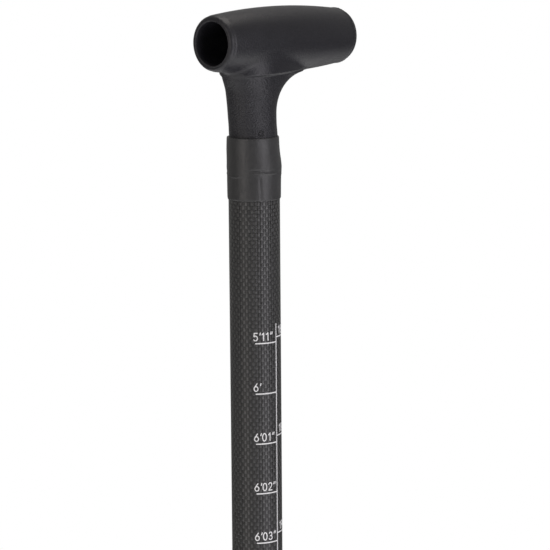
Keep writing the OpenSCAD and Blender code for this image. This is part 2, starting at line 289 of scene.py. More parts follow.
def gradient(field, p, e=0.02):
    """The field's slope at points p."""
    g = np.zeros_like(p)
    for k, o in enumerate(np.eye(3) * e):
        g[:, k] = (field(*(p + o).T) - field(*(p - o).T)) / (2 * e)
    return g


def project(field, p, step):
    """One step that moves points onto the surface, by at most half a cell."""
    g = gradient(field, p)
    d = field(*p.T)
    move = -d[:, None] * g / np.maximum((g ** 2).sum(1), 0.05)[:, None]
    length = np.linalg.norm(move, axis=1, keepdims=True)
    return p + move * np.minimum(1, 0.5 * step / np.maximum(length, 1e-9))


# distance fields: negative inside, millimetres


def smin(a, b, k):
    """Union with a fillet of about size k."""
    h = np.maximum(k - np.abs(a - b), 0) / k
    return np.minimum(a, b) - h * h * h * k / 6


def smax(a, b, k):
    """Intersection with its corner eased by about k."""
    return -smin(-a, -b, k)


def round_and(a, b, r):
    """Intersection with its outer corner rounded to radius r."""
    a, b = a + r, b + r
    return np.minimum(np.maximum(a, b), 0) + np.hypot(np.maximum(a, 0), np.maximum(b, 0)) - r


def smoothstep(x):
    x = np.clip(x, 0, 1)
    return x * x * (3 - 2 * x)


def hump(x, half):
    """1 at x = 0, falling away over about half."""
    return np.exp(-((x / half) ** 2))


# ------------------ materials


class Shade:
    """A material or world being built. A value is a socket, which is linked, or a number, which is set."""

    def __init__(self, name, kind="materials", place="Object"):
        self.data = getattr(bpy.data, kind).new(name)
        self.data.use_nodes = True
        self.tree = self.data.node_tree
        self.tree.nodes.clear()
        self.place = self.node("ShaderNodeTexCoord").outputs[place]

    def put(self, socket, value):
        if isinstance(value, bpy.types.NodeSocket):
            self.tree.links.new(value, socket)
        elif value is not None:
            socket.default_value = (*value, 1) if socket.type == "RGBA" else value

    def node(self, kind, **settings):
        made = self.tree.nodes.new(kind)
        for key, value in settings.items():
            setattr(made, key, value)
        return made

    def math(self, operation, a, b=None):
        made = self.node("ShaderNodeMath", operation=operation)
        for socket, value in zip(made.inputs, (a, b)):
            self.put(socket, value)
        return made.outputs[0]

    def plus(self, a, b):
        return self.math("ADD", a, b)

    def minus(self, a, b):
        return self.math("SUBTRACT", a, b)

    def times(self, a, b):
        return self.math("MULTIPLY", a, b)

    def vector(self, operation, a, b=None):
        made = self.node("ShaderNodeVectorMath", operation=operation)
        for socket, value in zip(made.inputs, (a, b)):
            self.put(socket, value)
        return made.outputs["Value" if operation in ("LENGTH", "DOT_PRODUCT") else "Vector"]

    def split(self, vector=None):
        made = self.node("ShaderNodeSeparateXYZ")
        self.put(made.inputs[0], vector or self.place)
        return made.outputs

    def join(self, x, y, z):
        made = self.node("ShaderNodeCombineXYZ")
        for socket, value in zip(made.inputs, (x, y, z)):
            self.put(socket, value)
        return made.outputs[0]

    def noise(self, size_mm, detail=2.0, rough=0.5, vector=None, stretch=None):
        """Noise whose features are about size_mm across, from 0 to 1."""
        vector = vector or self.place
        if stretch:
            vector = self.vector("MULTIPLY", vector, stretch)
        made = self.node("ShaderNodeTexNoise")
        self.put(made.inputs["Vector"], vector)
        made.inputs["Scale"].default_value = 1 / (size_mm * MM)
        made.inputs["Detail"].default_value = detail
        made.inputs["Roughness"].default_value = rough
        return made.outputs[0]

    def cells(self, size_mm, feature="SMOOTH_F1"):
        """Distance to the nearest point of a random set about size_mm apart."""
        made = self.node("ShaderNodeTexVoronoi", feature=feature)
        self.put(made.inputs["Vector"], self.place)
        made.inputs["Scale"].default_value = 1 / (size_mm * MM)
        if feature == "SMOOTH_F1":
            made.inputs["Smoothness"].default_value = 0.5
        return made.outputs["Distance"]

    def spread(self, value, lo, hi, out_lo, out_hi, smooth=False):
        """Maps lo to hi onto out_lo to out_hi, and holds it there outside."""
        made = self.node("ShaderNodeMapRange", interpolation_type="SMOOTHSTEP" if smooth else "LINEAR")
        for socket, v in zip(made.inputs, (value, lo, hi, out_lo, out_hi)):
            self.put(socket, v)
        return made.outputs[0]

    def blend(self, factor, a, b):
        """Colour a where factor is 0, b where it is 1."""
        made = self.node("ShaderNodeMix", data_type="RGBA")
        self.put(made.inputs["Factor"], factor)
        self.put(made.inputs[6], a)
        self.put(made.inputs[7], b)
        return made.outputs[2]

    def bump(self, height, depth_mm, strength=1.0):
        made = self.node("ShaderNodeBump")
        made.inputs["Strength"].default_value = strength
        made.inputs["Distance"].default_value = depth_mm * MM
        self.put(made.inputs["Height"], height)
        return made.outputs[0]

    def end(self, shader, output, **values):
        """Ends the tree with one shader."""
        made = self.node(shader)
        for key, value in values.items():
            self.put(made.inputs[key.replace("_", " ")], value)
        self.tree.links.new(made.outputs[0], self.node(output).inputs[0])
        return self.data

    def surface(self, **values):
        return self.end("ShaderNodeBsdfPrincipled", "ShaderNodeOutputMaterial", **values)


# a small round moulding mark on the stem, just above the sleeve, in metres as the shader sees it
MARK_PLACE = (-0.00588, -0.01040, -0.0443)
MARK_R = 0.00115
# the bar is smooth and the stem's grain is full, between these heights
GRAIN_FROM, GRAIN_FULL = -0.012, -0.026


def grip_plastic():
    s = Shade("grip_plastic")
    stem = s.spread(s.split()[2], GRAIN_FROM, GRAIN_FULL, 0.35, 1.0, smooth=True)
    grain = s.cells(0.75)
    fine = s.noise(0.28, 3.0)
    pitted = s.times(s.plus(grain, s.times(fine, 0.5)), stem)
    away = s.vector("LENGTH", s.vector("SUBTRACT", s.place, MARK_PLACE))
    groove = s.math("ABSOLUTE", s.minus(away, MARK_R))
    pitted = s.minus(pitted, s.spread(groove, 0.0001, 0.00045, 3.0, 0.0, smooth=True))
    swirl = s.noise(9, 3.0)
    colour = s.blend(swirl, (0.019, 0.019, 0.024), (0.024, 0.023, 0.029))
    colour = s.blend(s.spread(grain, 0.1, 0.6, 0, 0.35), colour, (0.013, 0.013, 0.014))
    rough = s.spread(s.noise(4, 4.0), 0.3, 0.7, 0.36, 0.44)
    return s.surface(Base_Color=colour, Roughness=rough, IOR=1.5, Normal=s.bump(pitted, 0.26))


def shrink_film():
    s = Shade("shrink_film")
    wrinkle = s.noise(3.2, 4.0, 0.6, stretch=(1, 1, 0.45))
    fine = s.noise(0.35, 2.0)
    height = s.plus(wrinkle, s.times(fine, 0.08))
    colour = s.blend(s.noise(6, 3.0), (0.042, 0.042, 0.043), (0.055, 0.055, 0.056))
    rough = s.spread(s.noise(2.2, 3.0), 0.3, 0.7, 0.34, 0.48)
    return s.surface(Base_Color=colour, Roughness=rough, IOR=1.5, Normal=s.bump(height, 0.3, 0.7))


TUBE_PITCH = 1.895    # mm of tube for each tow that goes round it
BLADE_TOW = 2.0       # mm
FIBRE_LINES = 9       # fine lines across each tow


def woven_carbon(name, across, along, cell_mm, warp_axis, weft_axis, roughness, coat, crown_highlight_colour):
    """Plain-woven carbon under resin. across and along count tows, and a tow's fibres follow its axis.

    The crowns of the warp get a painted highlight in the crown colour, and the weft's crowns a weaker one.
    """
    s = Shade(name)
    u, v = across(s), along(s)
    du = s.minus(s.math("FRACT", u), 0.5)
    dv = s.minus(s.math("FRACT", v), 0.5)
    parity = s.math("PINGPONG", s.plus(s.math("FLOOR", u), s.math("FLOOR", v)), 1.0)
    over_u = s.math("COSINE", s.times(du, math.pi))
    over_v = s.math("COSINE", s.times(dv, math.pi))
    warp = s.times(s.math("POWER", over_u, 0.45), over_v)
    weft = s.times(s.math("POWER", over_v, 0.45), over_u)
    warp_up = s.minus(1.0, parity)
    crown = s.plus(s.times(warp, warp_up), s.times(weft, parity))
    lines_u = s.math("SINE", s.times(u, 2 * math.pi * FIBRE_LINES))
    lines_v = s.math("SINE", s.times(v, 2 * math.pi * FIBRE_LINES))
    lines = s.plus(s.times(lines_u, warp_up), s.times(lines_v, parity))
    height = s.plus(crown, s.times(lines, 0.012))
    fibres = s.node("ShaderNodeMix", data_type="VECTOR")
    s.put(fibres.inputs["Factor"], parity)
    s.put(fibres.inputs[4], warp_axis(s))
    s.put(fibres.inputs[5], weft_axis(s))
    uneven = s.noise(5, 3.0)
    dark = s.blend(uneven, (0.012, 0.012, 0.012), (0.018, 0.018, 0.018))
    # painted highlight: the base colour is lighter on the warp's crowns, and weakly on the weft's
    lit = s.times(over_u, s.math("POWER", over_v, 0.35))
    bright = s.plus(s.times(lit, warp_up), s.times(s.times(weft, parity), 0.3))
    colour = s.blend(s.spread(bright, 0.1, 0.9, 0.0, 1.0, smooth=True), dark, crown_highlight_colour)
    return s.surface(
        Base_Color=colour, Roughness=roughness, IOR=1.55, Anisotropic=0.6, Tangent=fibres.outputs[1],
        Coat_Weight=coat, Coat_Roughness=0.16, Normal=s.bump(height, 0.17 * cell_mm),
    )


def tube_carbon(name, radius_mm, tows):
    def across(s):
        x, y, _ = s.split()
        return s.times(s.math("ARCTAN2", x, s.times(y, -1.0)), tows / (2 * math.pi))

    def along(s):
        return s.math("DIVIDE", s.split()[2], TUBE_PITCH * MM)

    def round_the_tube(s):
        x, y, _ = s.split()
        return s.vector("NORMALIZE", s.join(s.times(y, -1.0), x, 0.0))

    return woven_carbon(
        name, across, along, 2 * math.pi * radius_mm / tows,
        # the last colour is the painted highlight on the crowns
        lambda s: s.join(0.0, 0.0, 1.0), round_the_tube, 0.33, 0.25, (0.072, 0.072, 0.071),
    )


def blade_carbon():
    return woven_carbon(
        "blade_carbon",
        lambda s: s.math("DIVIDE", s.split()[0], BLADE_TOW * MM),
        lambda s: s.math("DIVIDE", s.split()[2], BLADE_TOW * MM),
        BLADE_TOW,
        # the last colour is the painted highlight on the crowns
        lambda s: s.join(0.0, 0.0, 1.0), lambda s: s.join(1.0, 0.0, 0.0), 0.30, 0.7, (0.045, 0.045, 0.044),
    )


def shade_of(colour, factor):
    return tuple(min(1, c * factor) for c in colour)


def spark_plastic(name, colour, grain_mm=0.45, depth=0.05, rough=0.5):
    """Moulded plastic with a spark-eroded grain."""
    s = Shade(name)
    height = s.plus(s.cells(grain_mm), s.noise(0.2, 2.0))
    tint = s.blend(s.noise(7, 3.0), shade_of(colour, 0.8), shade_of(colour, 1.25))
    r = s.spread(s.noise(3, 3.0), 0.3, 0.7, rough - 0.05, rough + 0.07)
    return s.surface(Base_Color=tint, Roughness=r, IOR=1.5, Normal=s.bump(height, depth, 0.8))


def soft_rubber(name, colour):
    s = Shade(name)
    tint = s.blend(s.noise(5, 3.0), shade_of(colour, 0.8), shade_of(colour, 1.3))
    rough = s.spread(s.noise(1.5, 3.0), 0.3, 0.7, 0.62, 0.78)
    grain = s.bump(s.noise(0.3, 3.0), 0.04, 0.7)
    return s.surface(Base_Color=tint, Roughness=rough, IOR=1.5, Normal=grain)


def turned_metal(name, colour, rough, axis="z", black=False):
    """Metal with fine lathe marks round an axis through the origin. Black is an anodised skin on it."""
    s = Shade(name)
    x, y, z = s.split()
    along, a, b = {"y": (y, x, z), "z": (z, x, y)}[axis]
    radius = s.vector("LENGTH", s.join(a, b, 0.0))
    marks = s.noise(0.16, 2.0, vector=s.join(along, radius, 0.0))
    tint = s.blend(s.noise(4, 3.0), shade_of(colour, 0.88), shade_of(colour, 1.08))
    r = s.spread(s.noise(1.2, 3.0), 0.3, 0.7, rough - 0.06, rough + 0.08)
    return s.surface(
        Base_Color=tint, Metallic=0.0 if black else 1.0, Roughness=r, IOR=1.6,
        Normal=s.bump(marks, 0.02, 0.7), Coat_Weight=0.2 if black else 0.0,
    )


def cell_foam():
    s = Shade("cell_foam")
    pores = s.cells(0.7, "F1")
    # painted shade: the colour is darker at the pores' centres, where the bump sinks in
    colour = s.blend(pores, (0.72, 0.68, 0.58), (0.84, 0.81, 0.72))
    return s.surface(Base_Color=colour, Roughness=0.85, Normal=s.bump(pores, 0.3, 0.8))


def scale_ink():
    s = Shade("scale_ink")
    worn = s.noise(1.1, 4.0, 0.6)
    colour = s.blend(s.spread(worn, 0.62, 0.75, 0, 0.25), (0.96, 0.96, 0.96), (0.75, 0.75, 0.75))
    return s.surface(Base_Color=colour, Roughness=0.4, Normal=s.bump(s.noise(0.25, 2.0), 0.01, 0.5))


# one material for each of the record's slots
FINISH = {
    "grip_plastic": grip_plastic(),
    "shrink_film": shrink_film(),
    "carbon_tube": tube_carbon("main_carbon", MAIN_R, 60),
    "carbon_blade": blade_carbon(),
    "clamp_plastic": spark_plastic("clamp_plastic", (0.024, 0.024, 0.026)),
    "hard_plastic": spark_plastic("hard_plastic", (0.03, 0.03, 0.031), 0.35, 0.03, 0.42),
    "liner_plastic": spark_plastic("liner_plastic", (0.50, 0.50, 0.47), 0.5, 0.03, 0.4),
    "rail_plastic": spark_plastic("rail_plastic", (0.018, 0.018, 0.018), 0.5, 0.05, 0.5),
    "neck_rubber": soft_rubber("neck_rubber", (0.022, 0.022, 0.022)),
    "pad_rubber": soft_rubber("pad_rubber", (0.075, 0.075, 0.08)),
    "anodised_ring": turned_metal("anodised_ring", (0.03, 0.03, 0.033), 0.38, black=True),
    "steel": turned_metal("turned_steel", (0.60, 0.60, 0.61), 0.28, axis="y"),
    "spring_steel": turned_metal("spring_steel", (0.42, 0.43, 0.45), 0.3),
    "foam": cell_foam(),
    "scale_ink": scale_ink(),
}
M_EXT = tube_carbon("extension_carbon", EXT_R, 52)
for part in frame["record"]["subparts"]:
    node = NODES[part["node"]]
    node.data.materials.clear()
    node.data.materials.append(FINISH[part["material_slot"]])

# ------------------ grip

# the side of the shaft that faces the camera and carries the scale's labels, between -X and -Y
VIEW_SIDE = (-0.730, -0.683)
STEM_TOP, STEM_BOTTOM = -6.0, ext_hi[2]
STEM_LEAN = 0.44         # sideways, seen by the camera
STEM_FOOT = -46.0        # the stem steps in a little above this
SWEEP_R = 26.5           # of the long side of the flare, an arc
SWEEP_BOTTOM, SWEEP_HIGH = -35.5, 19.5
LEDGE_Z, LEDGE_OUT = -16.6, 1.7   # the moulding ledge under the bar, on its flanks
FILLET = 2.4
SPIGOT_R, SPIGOT_TOP, SPIGOT_BOTTOM = EXT_R - WALL, -50.0, bar_lo[2]
CORE_R, CORE_TOP = 7.5, -20.0     # the hollow in the stem
SEAM_IN = 3.1            # the fine step before the bar's end
RIM_OUT = 0.12           # what the bore's lips stand out from the bar's end
GRIP_CELL, CLAMP_CELL = 0.62, 0.52


def grip_field(x, y, z):
    s = x - BAR_MID
    # the bar: a barrel with a fine step before its end round
    past_seam = smoothstep((np.abs(s) - (BAR_HALF - SEAM_IN)) / 0.35)
    ridge = 0.4 * hump(s - BAR_HALF + SEAM_IN, 0.5)
    barrel = BAR_R - (BAR_R - BAR_END_R) * (s / BAR_HALF) ** 2 - 0.2 * past_seam + ridge
    rho = np.hypot(y, z)
    bar = round_and((rho - barrel) * 0.985, np.abs(s) - BAR_HALF + RIM_OUT, BAR_ROUND)
    # the stem and its flare: long sweep towards +X, short one towards -X
    u = np.clip((z - SWEEP_BOTTOM) / SWEEP_HIGH, 0, 0.985)
    sweep = SWEEP_R * (1 - np.sqrt(1 - u * u))
    splay = smoothstep((z + 25) / 11)
    short = 3.6 * np.clip((z - STEM_FOOT) / 30, 0, 1.2) ** 1.2 + 2.0 * splay
    flank = 1.2 * smoothstep((z + 34) / 24) + 0.3 * splay
    lean = STEM_LEAN * smoothstep((z + 55) / 20)
    sx, sy = x - VIEW_SIDE[1] * lean, y + VIEW_SIDE[0] * lean
    neck_in = 0.2 * smoothstep((z - STEM_FOOT) / 6)
    ledge = LEDGE_OUT * smoothstep((z - LEDGE_Z - 0.04 * x) / 1.3)
    ax = STEM_R - neck_in + np.where(sx > 0, sweep, short)
    ay = STEM_R - neck_in + flank + ledge
    stem = (np.sqrt((sx / ax) ** 2 + (sy / ay) ** 2) - 1) * np.minimum(ax, ay)
    stem = smax(stem, z - STEM_TOP, 2.0)
    stem = np.maximum(stem, STEM_BOTTOM - z)
    skin = smin(bar, stem, FILLET)
    spigot = np.maximum(np.hypot(x, y) - SPIGOT_R, SPIGOT_BOTTOM - z)
    d = np.minimum(skin, np.maximum(spigot, z - SPIGOT_TOP))
    # bore with eased rims, and the cored stem
    d = smax(d, BORE_R - rho, 0.25)
    core = np.maximum(np.hypot(x, y) - CORE_R, z - CORE_TOP)
    return np.maximum(d, -core)


grip = new_object("grip", *surface_nets(grip_field, bar_lo, bar_hi, GRIP_CELL))
finish_piece(grip, "grip_shaft", "grip_plastic", "grip_body")

# the moulded lips of the bore: radius past the bore's, and depth from the bar's end
LIP_PROFILE = (
    (-0.02, -3.0), (-0.02, -0.45), (0.1, -0.2), (0.3, -0.05), (0.5, 0.0),
    (0.75, -0.08), (0.92, -0.3), (1.0, -0.6), (1.0, -3.0),
)
for side, name in ((-1, "near_bore_lip"), (1, "far_bore_lip")):
    profile = [(BORE_R + r, BAR_MID + side * (BAR_HALF + x)) for r, x in LIP_PROFILE]
    lip = lathe(name, profile, 160, "x")
    finish_piece(lip, "grip_shaft", "grip_plastic", "grip_body", sharp_deg=60)

# ------------------ heat-shrink sleeve


# the film's height and radius: tight on the tube, out over the tube's end, then in over the stem
FILM_Z = (sleeve_lo[2], -76.6, -75, -70, -66, -63.5, -61.5, -59, -55, -50, -47.2, sleeve_hi[2])
FILM_R = (12.95, 13.2, 13.25, 13.3, 13.35, 13.5, 13.58, 13.45, 13.2, 13.0, 12.9, 12.7)


def sleeve_radius(turn, z):
    """Outer radius of the film with its creases. turn is 0 at VIEW_SIDE and grows to the camera's right."""
    base = np.interp(z, FILM_Z, FILM_R)
    side = 0.22 * np.cos(turn - 1.3) * hump(z + 60, 5.0)
    side = side + 0.42 * np.cos(turn + 1.5) * smoothstep((z + 66) / 16)
    line = -63.2 + 0.9 * np.sin(turn * 2 + 0.6) + 0.5 * np.sin(turn * 5 + 1.9)
    crease = -0.34 * hump(z - line, 0.5) * (0.5 + 0.5 * np.sin(turn * 3 + 0.3))
    crease = crease * (0.3 + 0.7 * np.cos(turn) ** 2)
    fold = 0.34 * hump(z - line + 1.3, 0.5) * (0.55 + 0.45 * np.sin(turn * 4 - 0.7))
    upright = -0.16 * hump(turn - 0.24 - 0.02 * np.sin(z * 0.4), 0.05) * smoothstep((-64 - z) / 3)
    bump = 0.2 * hump(turn + 0.42, 0.05) * hump(z + 72, 0.5)
    return base + side + crease + fold + upright + bump


def build_sleeve():
    segments, rows = 180, 110
    turn = np.linspace(-math.pi, math.pi, segments, endpoint=False)
    top = sleeve_hi[2] - 0.15 - 0.15 * np.sin(turn * 2 + 1.0) * np.cos(turn * 3)
    bottom = sleeve_lo[2] + 0.2 + 0.2 * np.sin(turn * 3 + 0.5) * np.cos(turn * 2)
    loops = []
    for t in np.linspace(0, 1, rows):
        z = bottom + (top - bottom) * t
        loops.append((sleeve_radius(turn, z), z))
    lean = STEM_LEAN * np.cos(turn + 1.57) * smoothstep((top + 55) / 20)
    loops += [(STEM_R + lean - 0.3, top), (STEM_R, ext_hi[2]), (EXT_R, ext_hi[2]), (EXT_R, bottom)]
    angle = turn + np.arctan2(VIEW_SIDE[1], VIEW_SIDE[0])
    points = [np.stack(np.broadcast_arrays(r * np.cos(angle), r * np.sin(angle), z), 1) for r, z in loops]
    n = len(loops)
    faces = []
    for i in range(n):
        faces += band(i, (i + 1) % n, segments)
    return outward(new_object("heat_shrink_sleeve", np.concatenate(points), faces))


finish_piece(build_sleeve(), "grip_shaft", "shrink_film", "shrink_sleeve")

# ------------------ tubes


def tube(name, radius, z0, z1):
    inner = radius - WALL
    profile = rounded([(radius, z0), (radius, z1), (inner, z1), (inner, z0)], 0.25, 3)
    return lathe(name, profile, 256)


extension = tube("extension", EXT_R, ext_lo[2], ext_hi[2])
finish_piece(extension, "grip_shaft", "carbon_tube", "extension_tube", material=M_EXT, sharp_deg=50)
main_tube = tube("main_shaft_tube", MAIN_R, main_lo[2], main_hi[2])
finish_piece(main_tube, "main_shaft", "carbon_tube", "main_tube", sharp_deg=50)

BUTTON_Z = (button_lo[2] + button_hi[2]) / 2
BUTTON_R = 4.0
HOLE_R = BUTTON_R + 0.1
low_tube = tube("lower_shaft_tube", MAIN_R, lower_lo[2], lower_hi[2])
hole_profile = [(0, -MAIN_R - 1), (HOLE_R, -MAIN_R - 1), (HOLE_R, 0), (0, 0)]
cut(low_tube, lathe("hole", hole_profile, 64, "y", (0, 0, BUTTON_Z)))
finish_piece(low_tube, "main_shaft", "carbon_tube", "lower_tube", sharp_deg=40)

# ------------------ ferrule, button and neck


def banded_ring(name, lo, hi, grooves):
    """An anodised ring with turned grooves."""
    outer = hi[0]
    z0, z1 = lo[2], hi[2]
    profile = [(MAIN_R, z0), (outer - 0.25, z0), (outer, z0 + 0.25)]
    for g in grooves:
        z = z0 + g * (z1 - z0)
        profile += [(outer, z - 0.45), (outer - 0.3, z - 0.25), (outer - 0.3, z + 0.25), (outer, z + 0.45)]
    profile += [(outer, z1 - 0.25), (outer - 0.25, z1), (MAIN_R, z1)]
    return lathe(name, profile, 192)


for name, node, grooves in (
    ("main_ring", "main_end_ring", (0.2, 0.34, 0.84)), ("lower_ring", "lower_end_ring", (0.16, 0.66, 0.8)),
):
    ring = banded_ring(name, *box_mm(node), grooves)
    finish_piece(ring, "main_shaft", "anodised_ring", node, sharp_deg=25)

FLANGE_R = button_hi[0]
dome = [(0, 0), (1.6, 0.05), (2.7, 0.25), (3.5, 0.7), (3.9, 1.3), (BUTTON_R, 1.9)]
flange = [(BUTTON_R, -1.2), (FLANGE_R - 0.2, -1.2), (FLANGE_R, -1.0), (FLANGE_R, -0.2)]
flange += [(FLANGE_R - 0.2, 0), (0, 0)]
profile = [(r, button_lo[1] + y) for r, y in dome] + [(r, button_hi[1] + y) for r, y in flange]
button = lathe("spring_button", profile, 96, "y", (0, 0, BUTTON_Z))
finish_piece(button, "snap_button", "steel", "snap_button", sharp_deg=35)

NECK_TOP, NECK_FOOT = neck_hi[2], neck_lo[2]
neck_profile = [(MAIN_R, NECK_FOOT), (neck_hi[0] - 0.3, NECK_FOOT), (neck_hi[0], NECK_FOOT + 0.3)]
for k in range(3):
    z = NECK_FOOT + 1.6 + 2.1 * k
    r = neck_hi[0] - 0.55 * (k + 0.6)
    neck_profile += [(r + 0.25, z - 0.5), (r - 0.15, z - 0.2), (r - 0.15, z + 0.2), (r + 0.1, z + 0.5)]
neck_profile += [(MAIN_R + 0.75, NECK_TOP - 0.6), (MAIN_R + 0.45, NECK_TOP), (MAIN_R, NECK_TOP)]
neck = lathe("neck_boot", neck_profile, 192)
finish_piece(neck, "main_shaft", "neck_rubber", "neck_ring", sharp_deg=40)

# ------------------ clamp

BOLT_X = (screw_lo[0] + screw_hi[0]) / 2
BOLT_Z = (screw_lo[2] + screw_hi[2]) / 2
BOLT_R = 2.5
SCREW_HEAD = 5.0
THREAD_PITCH, THREAD_DEPTH = 0.8, 0.32
PIN_Y = (pin_lo[1] + pin_hi[1]) / 2
PIN_R = (pin_hi[0] - pin_lo[0]) / 2
COLLAR_R = collar_hi[1]
EAR_X = (15.0, collar_hi[0])
EAR_Y = 8.0           # half the thickness of the two ears
EAR_HALF = 10.0       # half their height
GROOVES = (16, 28)    # below the collar's top
LIP = 2.0             # what holds the liner in
SEAT_Z = main_hi[2]
SLIT_X = EXT_R - 2
SLIT_HALF = 1.5
SLIT_BOTTOM = SEAT_Z - 3
FAR_OUT = -9          # a distance that takes no part


def box_field(x, y, z, lo, hi, r):
    """A box with all its edges rounded to r."""
    q = [np.abs(v - (a + b) / 2) - (b - a) / 2 + r for v, a, b in zip((x, y, z), lo, hi)]
    outside = np.sqrt(sum(np.maximum(v, 0) ** 2 for v in q))
    return outside + np.minimum(np.maximum(np.maximum(q[0], q[1]), q[2]), 0) - r


def collar_field(x, y, z):
    rho = np.hypot(x, y)
    foot = np.clip((z - collar_lo[2]) / 10, 0, 1)
    outer = MAIN_R + 1.2 + (COLLAR_R - MAIN_R - 1.2) * foot
    for groove in GROOVES:
        outer = outer - 0.5 * hump(z - CLAMP_Z + groove, 0.6)
    mid = (collar_lo[2] + CLAMP_Z) / 2
    body = round_and((rho - outer) * 0.95, np.abs(z - mid) - (CLAMP_Z - collar_lo[2]) / 2, 1.0)
    low, high = (EAR_X[0] - 4, -EAR_Y, BOLT_Z - EAR_HALF), (EAR_X[1], EAR_Y, BOLT_Z + EAR_HALF)
    d = smin(body, box_field(x, y, z, low, high, 1.2), 3.5)
    d = np.maximum(d, z - CLAMP_Z)
    d = np.maximum(d, np.where(x > COLLAR_R, np.abs(y) - EAR_Y, FAR_OUT))
    seat = np.where(z > CLAMP_Z - LIP, EXT_R + 0.6, MAIN_R + np.where(z > SEAT_Z, 0.05, 0.0))
    d = smax(d, seat - rho, 0.4)
    slit = np.maximum(np.maximum(SLIT_X - x, np.abs(y) - SLIT_HALF), SLIT_BOTTOM - z)
    d = smax(d, -slit, 0.5)
    hole = BOLT_R + 0.2 - np.hypot(x - BOLT_X, z - BOLT_Z)
    return smax(d, np.where(x > SLIT_X, hole, FAR_OUT), 0.3)


collar = new_object("collar", *surface_nets(collar_field, collar_lo, collar_hi, CLAMP_CELL))
finish_piece(collar, "main_shaft", "clamp_plastic", "clamp_collar")

LEVER_MID = 23.0      # the radius of the lever's arc round the shaft
LEVER_HALF = 2.2      # half its thickness
LEVER_FROM, LEVER_TO = -58.0, -196.0   # degrees round the shaft
LEVER_H = lever_hi[2] - lever_lo[2]
CAM_PLACE = (BOLT_X, PIN_Y + 0.5)
CAM_R = 5.95
FORK_HALF = 3.2       # half the slot for the screw
FORK_R = 14
FORK_FROM, FORK_TO = -80, 130          # degrees round the pin that the slot lets the screw through
PAD_HALF = 6.5        # half the height of the finger pad and the ribs under it
PAD_FROM, PAD_TO = -112, -176          # degrees round the shaft


def polar(r, deg):
    return r * math.cos(math.radians(deg)), r * math.sin(math.radians(deg))


def capsule(x, y, a, ra, b, rb):
    """Two discs and what lies between them."""
    bx, by = b[0] - a[0], b[1] - a[1]
    t = np.clip(((x - a[0]) * bx + (y - a[1]) * by) / (bx * bx + by * by), 0, 1)
    return np.hypot(x - a[0] - t * bx, y - a[1] - t * by) - (ra + (rb - ra) * t)


def lever_field(x, y, z):
    turn = np.degrees(np.arctan2(y, x))
    turn = np.where(turn > 100, turn - 360, turn)
    start, end = polar(LEVER_MID, LEVER_FROM), polar(LEVER_MID, LEVER_TO)
    ends = np.minimum(np.hypot(x - start[0], y - start[1]), np.hypot(x - end[0], y - end[1]))
    along = np.abs(np.hypot(x, y) - LEVER_MID)
    arc_d = np.where((turn <= LEVER_FROM) & (turn >= LEVER_TO), along, ends) - LEVER_HALF
    neck = capsule(x, y, start, LEVER_HALF, CAM_PLACE, CAM_R)
    tip = capsule(x, y, end, LEVER_HALF, polar(LEVER_MID + 3, LEVER_TO - 9), 1.5)
    plan = np.minimum(np.minimum(arc_d, neck), tip)
    d = round_and(plan, np.abs(z - BOLT_Z) - LEVER_H / 2, 1.1)
    px, py = x - BOLT_X, y - PIN_Y
    rho = np.hypot(px, py)
    d = smax(d, PIN_R + 0.05 - rho, 0.2)
    a, b = polar(1, FORK_FROM), polar(1, FORK_TO)
    sector = np.minimum(-(a[0] * py - a[1] * px), b[0] * py - b[1] * px)
    fork = np.maximum(np.maximum(sector, np.abs(z - BOLT_Z) - FORK_HALF), rho - FORK_R)
    d = smax(d, -fork, 0.4)
    # shallow ribs under the finger at the tip
    ribs = 0.22 * (0.5 + 0.5 * np.cos(np.radians(turn) * 100)) * smoothstep((-178 - turn) / 3)
    return d + np.where(np.abs(z - BOLT_Z) < PAD_HALF, ribs, 0)


lever = new_object("cam_lever", *surface_nets(lever_field, lever_lo, lever_hi, CLAMP_CELL))
finish_piece(lever, "clamp_lever", "clamp_plastic", "clamp_lever")


def pad_points(r_of):
    turn = np.radians(np.linspace(PAD_FROM, PAD_TO, 160))[:, None]
    h = np.linspace(-PAD_HALF, PAD_HALF, 40)[None, :]
    r = r_of(turn, h)
    z = np.broadcast_to(h, r.shape) + BOLT_Z
    return np.stack([r * np.cos(turn), r * np.sin(turn), z], -1)


def pad_top(turn, h):
    """Ribbed, and eased down to a thin rim."""
    half = math.radians(PAD_FROM - PAD_TO) / 2
    from_mid = np.abs(turn - math.radians(PAD_FROM + PAD_TO) / 2)
    edge = smoothstep(PAD_HALF - np.abs(h)) * smoothstep((half - from_mid) / 0.05)
    ribs = 0.5 + 0.5 * np.cos(turn * 78)
    return pad_seat(turn, h) + 0.15 + edge * (0.5 + 0.35 * ribs)


def pad_seat(turn, h):
    return LEVER_MID + LEVER_HALF + 0 * turn * h


pad = slab("finger_pad", pad_points(pad_top), pad_points(pad_seat))
finish_piece(pad, "clamp_lever", "pad_rubber", "lever_pad", sharp_deg=50)


